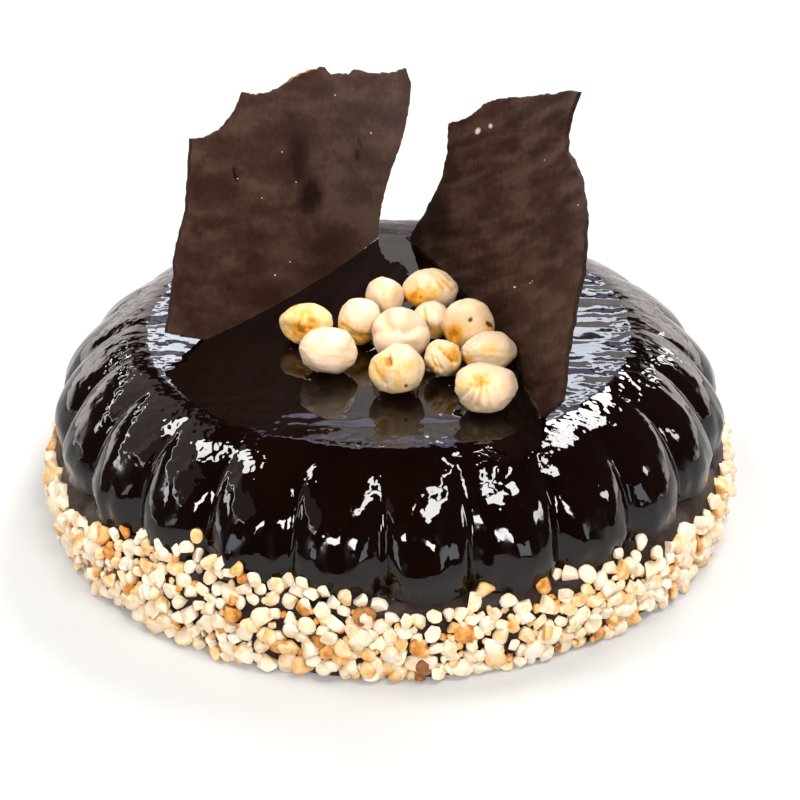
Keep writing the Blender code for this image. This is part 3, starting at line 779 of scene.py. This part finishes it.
def chip_places(draw):
    """Chips scattered no closer than their size, a looser second layer, then crumbs between."""
    girth = math.tau * BAND_PROFILE[3][0]
    taken = {}
    chips, crumbs = [], []

    def take(s, z, spacing):
        """Keeps a place if nothing that was kept before is nearer than the spacing."""
        column, row = int(s / CHIP_SPACING), int(z / CHIP_SPACING)
        for i in range(column - 2, column + 3):
            for j in range(row - 2, row + 3):
                for other_s, other_z in taken.get((i, j), ()):
                    apart = abs(s - other_s)
                    apart = min(apart, girth - apart)
                    if apart * apart + (z - other_z) ** 2 < spacing ** 2:
                        return False
        taken.setdefault((column, row), []).append((s, z))
        return True

    for attempt in range(CHIP_TRIES):
        s = draw.uniform(0, girth)
        angle = s / girth * math.tau
        top = band_edge(angle)
        z = draw.uniform(1.2 * MM, top + (0.5 * MM if attempt % STRAY_EVERY else STRAY_ABOVE))
        size = draw.uniform(*CHIP_SIZES)
        if z > top - BAND_TOP_SPARSE and draw.random() < BAND_TOP_SKIPPED:
            continue
        if take(s, z, CHIP_SPACING * (0.55 + 0.45 * size)):
            chips.append((angle, z, CHIP_OUT, size))
    for angle, z, _, _ in list(chips):
        if draw.random() < SECOND_LAYER and z < band_edge(angle) - BAND_TOP_SPARSE:
            chips.append((angle + draw.uniform(-1, 1) * 2 * MM / CREST_RADIUS,
                          max(1.5 * MM, z + draw.uniform(-1.5, 1.5) * MM), SECOND_OUT,
                          draw.uniform(*SECOND_SIZES)))
    for _ in range(CRUMB_TRIES):
        s = draw.uniform(0, girth)
        angle = s / girth * math.tau
        z = draw.uniform(1.0 * MM, band_edge(angle) - BAND_TOP_SPARSE)
        if take(s, z, CRUMB_SPACING):
            crumbs.append((angle, z, draw.uniform(*CRUMB_OUT) * MM, draw.uniform(*CRUMB_SIZES)))
    return chips, crumbs


def chip_tone(draw):
    """How toasted one chip is: most are ivory, some golden, a few orange or brown."""
    lot = draw.random()
    return next(draw.uniform(low, high) for up_to, low, high in CHIP_TONES if lot < up_to)


def nut_layer(name, places, fineness, toast, finish, draw):
    """Copies of a few kinds of chip, pressed on the side one by one and joined."""
    kinds = [chip_kind(number, fineness, draw) for number in range(CHIP_KINDS)]
    chips = []
    for angle, z, out, size in places:
        kind = draw.choice(kinds)
        chip = kind.copy()
        chip.data = kind.data.copy()
        outward = around(angle, 1, 0)
        spin = Matrix.Rotation(draw.uniform(0, math.tau), 4, "Z")
        tip, roll = (Matrix.Rotation(draw.gauss(0, CHIP_TILT), 4, axis) for axis in "XY")
        turn = outward.to_track_quat("Z", "Y").to_matrix().to_4x4() @ (tip @ roll) @ spin
        place = around(angle, side_radius(angle, z) + out, z)
        chip.data.transform(Matrix.Translation(place) @ turn @ Matrix.Scale(size, 4))
        low = min(v.co.z for v in chip.data.vertices)
        if low < BASE_CLEARANCE:
            chip.data.transform(Matrix.Translation((0, 0, BASE_CLEARANCE - low)))
        store(chip.data, "tone", [chip_tone(draw) + toast] * len(chip.data.vertices))
        bpy.context.scene.collection.objects.link(chip)
        chips.append(chip)
    for kind in kinds:
        bpy.data.objects.remove(kind)
    layer = join(chips, name, finish)
    layer.data.name = name
    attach(layer, "root")
    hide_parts("cake_body")


# Chocolate shards --------------------

def sheet_point(shard, along, up, out):
    """A point of a bent, leaning sheet: along its foot, up it, and out of its inner face."""
    start, end = (Vector((x, y, CAKE_HEIGHT)) for x, y in shard["foot"])
    run = (end - start).normalized()
    level = run.cross(Vector((0, 0, 1)))
    if level.y > 0:
        level.negate()
    lean = shard["lean"]
    rise = Vector((0, 0, 1)) * math.cos(lean) - level * math.sin(lean)
    facing = level * math.cos(lean) + Vector((0, 0, 1)) * math.sin(lean)
    length = (end - start).length
    bow = shard["bow"] * (1 - (2 * along / length - 1) ** 2)
    return start + run * along + rise * up + facing * (bow + out)


def edge_points(start, end, bulge):
    """Points from start up to end, the last left out, along an arc, with a broken edge's nibbles."""
    run = Vector(end) - Vector(start)
    outward = Vector((run.y, -run.x)).normalized()
    steps = max(1, round(run.length * MM / SHARD_EDGE_STEP))
    points = []
    for step in range(steps):
        share = step / steps
        point = Vector(start) + run * share + outward * bulge * 4 * share * (1 - share)
        if point.y > 1 and step:
            nibble = ripple((point.x, point.y, 0), 2.2, 4) + 0.7 * ripple((point.x, point.y, 0), 0.9, 6)
            point += outward * nibble * SHARD_RAGGED / MM
        points.append(point)
    return points


def shard_outline(shard):
    """The sheet's edge, with its foot going on down into the cake."""
    points = []
    corners = shard["outline"]
    for (x, y, bulge), (next_x, next_y, _) in zip(corners, corners[1:] + corners[:1]):
        points += edge_points((x, y), (next_x, next_y), bulge)
    points = [p * MM for p in points]
    far = max((p for p in points if p.y <= 0), key=lambda p: p.x)
    buried = [Vector((SHARD_BURIED_INSET, -SHARD_BURIED)),
              Vector((far.x - SHARD_BURIED_INSET, -SHARD_BURIED))]
    return points[:1] + buried + points[points.index(far):]


def chocolate_shard(name, shard, finish, edge_finish):
    """The flat outline is filled, given its thickness and its worn edges, cut into a grid, bent."""
    outline = shard_outline(shard)
    bpy.ops.mesh.primitive_circle_add(vertices=len(outline), radius=1, fill_type="NGON")
    piece = new_piece(name + "_sheet")
    for vertex, point in zip(piece.data.vertices, outline):
        vertex.co = (point.x, point.y, 0)
    edit(piece)
    bpy.ops.mesh.extrude_region_move(TRANSFORM_OT_translate={"value": (0, 0, -SHARD_THICKNESS)})
    face_outwards()
    done()
    faces = [polygon for polygon in piece.data.polygons if len(polygon.vertices) > 4]
    rim = {key for polygon in faces for key in polygon.edge_keys}
    edit(piece)
    bpy.ops.mesh.select_mode(type="EDGE")
    bpy.ops.mesh.select_all(action="DESELECT")
    done()
    for edge in piece.data.edges:
        edge.select = edge.key in rim
    bpy.ops.object.mode_set(mode="EDIT")
    bpy.ops.mesh.bevel(offset=SHARD_EDGE_BEVEL, segments=2, affect="EDGES", clamp_overlap=True)
    bpy.ops.mesh.select_mode(type="VERT")
    for axis, normal in enumerate((Vector((1, 0, 0)), Vector((0, 1, 0)))):
        low, high = min(p[axis] for p in outline), max(p[axis] for p in outline)
        for cut in range(int((high - low) / SHARD_GRID)):
            all_of_it()
            bpy.ops.mesh.bisect(plane_co=normal * (low + (cut + 0.59) * SHARD_GRID), plane_no=normal)
    all_of_it()
    bpy.ops.mesh.quads_convert_to_tris()
    done()
    sheet = piece.data.uv_layers.new(name="sheet")
    piece.data.uv_layers.active = sheet
    for loop, corner in zip(piece.data.loops, sheet.data):
        x, y, _ = piece.data.vertices[loop.vertex_index].co
        corner.uv = (x / MM, y / MM)
    piece.data.materials.append(finish)
    piece.data.materials.append(edge_finish)
    for polygon in piece.data.polygons:
        if abs(polygon.normal.z) < 0.8:
            polygon.material_index = 1
    across, along = shard["ridges"]
    for vertex in piece.data.vertices:
        x, y, z = vertex.co
        ridge = ((x * across.x + y * across.y) / SHARD_RIDGE[0],
                 (x * along.x + y * along.y) / SHARD_RIDGE[1], 0)
        wave = shard["ridge_height"] * ripple(ridge, 1, 15)
        for height, width, seed in SHARD_WAVES:
            wave += height * ripple((x, y, 0), width * MM, seed)
        vertex.co = sheet_point(shard, x, y, z + wave * MM)
    bpy.ops.object.shade_smooth_by_angle(angle=math.radians(40))
    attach(piece, "root")
    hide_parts(name)


# Whole hazelnuts --------------------

SEEN_RIGHT = Vector((1, 0, 0))
SEEN_UP = SEEN_RIGHT.cross(CAMERA_LOOK).normalized()


def off_line(u, v, u0, v0, u1, v1):
    """How far a mark's point lies off a short line."""
    run = Vector((u1 - u0, v1 - v0))
    share = partway(Vector((u - u0, v - v0)).dot(run), 0, run.length_squared)
    return math.hypot(u - u0 - run.x * share, v - v0 - run.y * share)


def hazelnut(number, nut, finish):
    """A turned ball drawn out to a pointed end and flattened at the other, then creased."""
    x, y, half_x, half_y, half_z, tip_turn, tip_up = nut["form"]
    turn, up = math.radians(tip_turn), math.radians(tip_up)
    tip = around(turn, math.cos(up), math.sin(up))
    pose = tip.to_track_quat("Z", "Y")
    name = f"hazelnut_{number:02d}"
    bpy.ops.mesh.primitive_uv_sphere_add(segments=NUT_SEGMENTS, ring_count=NUT_RINGS, radius=1)
    piece = new_piece(name + "_blanched")
    toasted, pits = [], []
    draw = random.Random(number)
    flats = [any_way(draw) for _ in range(NUT_FLATS)]
    veins = [draw.uniform(-math.pi, math.pi) for _ in range(NUT_VEINS)]
    for vertex in piece.data.vertices:
        toward_tip = vertex.co.z
        turned = math.atan2(vertex.co.y, vertex.co.x)
        waist = 1 - toward_tip ** 2
        ball = pose @ vertex.co
        u, v = ball.dot(SEEN_RIGHT), ball.dot(SEEN_UP)
        seen = partway(ball.dot(CAMERA_LOOK), 0.25, -0.25)
        vein = sum(bell(math.remainder(turned - lie, math.tau), VEIN_WIDTH) for lie in veins)
        vein *= waist * max(0.0, 0.4 + ripple(ball, 0.5, number + 30))

        neck, at, width = NUT_NECK
        ribs = ripple((math.cos(turned) * 2.6, math.sin(turned) * 2.6, toward_tip * 0.7), 1, number)
        dent = neck * bell(toward_tip - at, width) + 0.07 * max(0.0, -toward_tip) ** 8 - NUT_PLUMP
        dent += 0.015 * waist * (1 + math.cos(3 * turned + number * 1.7))
        dent += NUT_RIBS * ribs * waist + 0.030 * vein
        dent += sum(depth * ripple(ball, size, number + seed) for depth, size, seed in NUT_DENTS)
        dent += sum(max(0.0, ball.dot(flat) - FLAT_FROM) * 0.50 for flat in flats)
        stain = nut["tone"] + 0.10 * ripple(ball, 0.5, number + 60) + 0.16 * vein
        stain += (1 - seen) * max(0.0, ripple(ball, 0.6, number + 80)) * 0.9
        dark = 0.0
        for u0, v0, size, height in nut.get("bumps", ()):
            dent -= height * seen * bell(math.hypot(u - u0, v - v0), size)
        for u0, v0, u1, v1, width, depth in nut["creases"]:
            off = off_line(u, v, u0, v0, u1, v1)
            dent += 0.30 * depth * seen * bell(off, width)
            stain += 0.7 * depth * seen * bell(off, width * 0.45)
        rough = 1 + 0.5 * ripple(ball, 0.22, number + 90)
        for u0, v0, size, strength in nut["toasted"]:
            stain += strength * seen * bell(math.hypot(u - u0, v - v0) * rough, size)
        for u0, v0, size, strength in nut.get("pits", ()):
            near = seen * bell(math.hypot(u - u0, v - v0), size)
            dark += strength * near
            dent += 0.03 * near
        toasted.append(max(0.0, stain))
        pits.append(dark)
        ball *= (1 - dent) * MM
        vertex.co = (ball.x * half_x, ball.y * half_y, ball.z * half_z)
    drop = CAKE_HEIGHT + NUT_GAP - min(v.co.z for v in piece.data.vertices)
    piece.data.transform(Matrix.Translation((x * MM, y * MM, drop)))
    store(piece.data, "toasted", toasted)
    store(piece.data, "pits", pits)
    bpy.ops.object.shade_smooth()
    piece.data.materials.append(finish)
    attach(piece, "root")
    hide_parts(name)


# Glaze drawn up round the nuts and along the shards' feet --------------------

def drawn_up(height, share):
    """Height of the glaze where it creeps up: full at what stands in it, thinning out to 0."""
    return height * (1 - share) ** 2.2


def nut_collar(nut):
    """A ring round a nut's foot, drawn up against the nut like a fillet."""
    x, y, half_x, half_y, half_z = [value * MM for value in nut["form"][:5]]
    height, width = NUT_MENISCUS
    at_foot = math.sqrt(1 - (1 - height / half_z) ** 2)
    bpy.ops.mesh.primitive_torus_add(major_radius=2, minor_radius=1, major_segments=56,
                                     minor_segments=12)
    collar = bpy.context.object
    for vertex in collar.data.vertices:
        across, along = vertex.co.x, vertex.co.y
        far = math.hypot(across, along)
        share = (far - 1) / 2
        reach = width * (1 + 0.3 * ripple((across, along, 0), 2, 31)) * share
        z = drawn_up(height, share) if vertex.co.z > 0.01 else -MENISCUS_SUNK
        vertex.co = Vector((across / far * (half_x * at_foot + reach - MENISCUS_SUNK),
                            along / far * (half_y * at_foot + reach - MENISCUS_SUNK), z))
    collar.data.transform(Matrix.Translation((x, y, CAKE_HEIGHT)))
    return collar


def foot_bead(shard, side, height, width):
    """A strip along a shard's foot, drawn up against its inner (1) or outer (-1) face."""
    start, end = (Vector(point) for point in shard["foot"])
    length = (end - start).length
    steps = round(length / BEAD_STEP)
    bpy.ops.mesh.primitive_cylinder_add(vertices=12, radius=1, depth=2, end_fill_type="NGON")
    bead = bpy.context.object
    edit(bead)
    for step in range(1, steps):
        all_of_it()
        bpy.ops.mesh.bisect(plane_co=(0, 0, -1 + 2 * step / steps), plane_no=(0, 0, 1))
    done()
    for vertex in bead.data.vertices:
        across, over, along = vertex.co
        share = (across + 1) / 2
        reach = width * (1 + 0.5 * ripple((along * 20, 0, side), 1, 33)) * share
        up = drawn_up(height, share) if over > 0.01 else -MENISCUS_SUNK
        out = reach - MENISCUS_SUNK if side > 0 else MENISCUS_SUNK - reach - SHARD_THICKNESS
        place = sheet_point(shard, (along + 1) / 2 * length, 0, out)
        vertex.co = (place.x, place.y, CAKE_HEIGHT + up)
    return bead


def glaze_menisci(finish):
    pieces = [nut_collar(nut) for nut in HAZELNUTS]
    for shard, size in zip(SHARDS.values(), FOOT_MENISCI):
        pieces += [foot_bead(shard, side, *size) for side in (1, -1)]
    joined = join(pieces, "glaze_menisci", finish)
    edit(joined)
    face_outwards()
    done()
    settle(joined)
    bpy.ops.object.shade_smooth_by_angle(angle=math.radians(60))
    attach(joined, "root")
    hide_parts("cake_body")


# Studio --------------------

def studio_floor():
    bpy.ops.mesh.primitive_plane_add(size=FLOOR_SIZE)
    floor = bpy.context.object
    floor.name = "studio_floor"
    f = Finish("pale_floor")
    tone = f.shades(f.cloud(3, 2), ((0.3, (0.43, 0.43, 0.425)), (0.7, (0.45, 0.45, 0.445))))
    floor.data.materials.append(f.set(Base_Color=tone, Roughness=0.7, Emission_Color=(1, 1, 1, 1),
                                      Emission_Strength=0.15))


def soft_light(name, azimuth, elevation, width, height, radiance, roll=0, tint=WHITE):
    """A soft box on a dome round the cake: azimuth from behind towards +X, sizes in degrees."""
    up = math.radians(elevation)
    away = around(math.pi - math.radians(azimuth), math.cos(up), math.sin(up))
    bpy.ops.object.light_add(type="AREA", location=LIGHT_AIM + away * LIGHT_DISTANCE)
    lamp = bpy.context.object
    lamp.name = name
    lamp.data.shape = "RECTANGLE"
    lamp.data.size = 2 * LIGHT_DISTANCE * math.tan(math.radians(width / 2))
    lamp.data.size_y = 2 * LIGHT_DISTANCE * math.tan(math.radians(height / 2))
    lamp.data.energy = radiance * math.pi * lamp.data.size * lamp.data.size_y
    lamp.data.color = tint
    rolled = Matrix.Rotation(math.radians(roll), 3, "Z").to_quaternion()
    lamp.rotation_euler = ((-away).to_track_quat("-Z", "Y") @ rolled).to_euler()


def studio_light():
    """A pale wall behind, low pale sides, a dim ceiling and front, and soft boxes."""
    world = bpy.data.worlds.new("studio")
    world.use_nodes = True
    bpy.context.scene.world = world
    w = Nodes(world.node_tree, "Generated")
    split = w.add("ShaderNodeSeparateXYZ", {"Vector": w.here})
    right, back, up = (split.outputs[axis] for axis in "XYZ")
    aside = w.work("ABSOLUTE", right)
    level = w.work("MULTIPLY_ADD", w.times(aside, up), ROOM_FADES_ASIDE, back)
    level = w.work("MULTIPLY_ADD", up, ROOM_FADES_UP, level)
    level = w.work("MULTIPLY_ADD", w.cloud(4, 1), ROOM_PATCHES, level)
    level = w.work("SUBTRACT", level, ROOM_FRONT)
    fade = w.reach(level, *ROOM_EDGE, *ROOM_DIM_AND_BRIGHT, "SMOOTHSTEP")
    sides = w.work("MULTIPLY_ADD", aside, *ROOM_SIDES)
    background = w.tree.nodes["Background"]
    w.put(background.inputs["Strength"], w.times(sides, fade))
    w.put(background.inputs["Color"], (*ROOM_TINT, 1))
    for name, settings in SOFT_LIGHTS.items():
        soft_light(name, *settings)
    for name, settings in MIRRORED_LIGHTS.items():
        soft_light(name, *settings)
        bpy.context.object.visible_diffuse = False


def camera():
    bpy.ops.object.camera_add(location=CAMERA_PLACE)
    eye = bpy.context.object
    eye.name = "view"
    eye.rotation_euler = CAMERA_LOOK.to_track_quat("-Z", "Y").to_euler()
    eye.data.lens = CAMERA_LENS
    eye.data.sensor_width = CAMERA_SENSOR
    eye.data.clip_start = 0.01
    bpy.context.scene.camera = eye


def main():
    draw = random.Random(SEED)
    glaze = mirror_glaze()
    glazed_round(glaze, sticky_core())
    glaze_menisci(glaze)
    chips, crumbs = chip_places(draw)
    chopped = chopped_hazelnut()
    nut_layer("chopped_nut_band", chips, 2, 0.0, chopped, draw)
    nut_layer("chopped_nut_crumbs", crumbs, 1, CRUMB_TOAST, chopped, draw)
    for name, shard in SHARDS.items():
        side = name.rpartition("_")[2]
        chocolate_shard(name, shard, dark_chocolate(f"dark_chocolate_{side}", shard),
                        broken_chocolate(f"broken_chocolate_{side}", shard["amber"]))
    blanched = blanched_hazelnut()
    for number, nut in enumerate(HAZELNUTS, start=1):
        hazelnut(number, nut, blanched)
    studio_floor()
    studio_light()
    camera()
    bpy.context.scene.view_settings.view_transform = "Standard"


main()
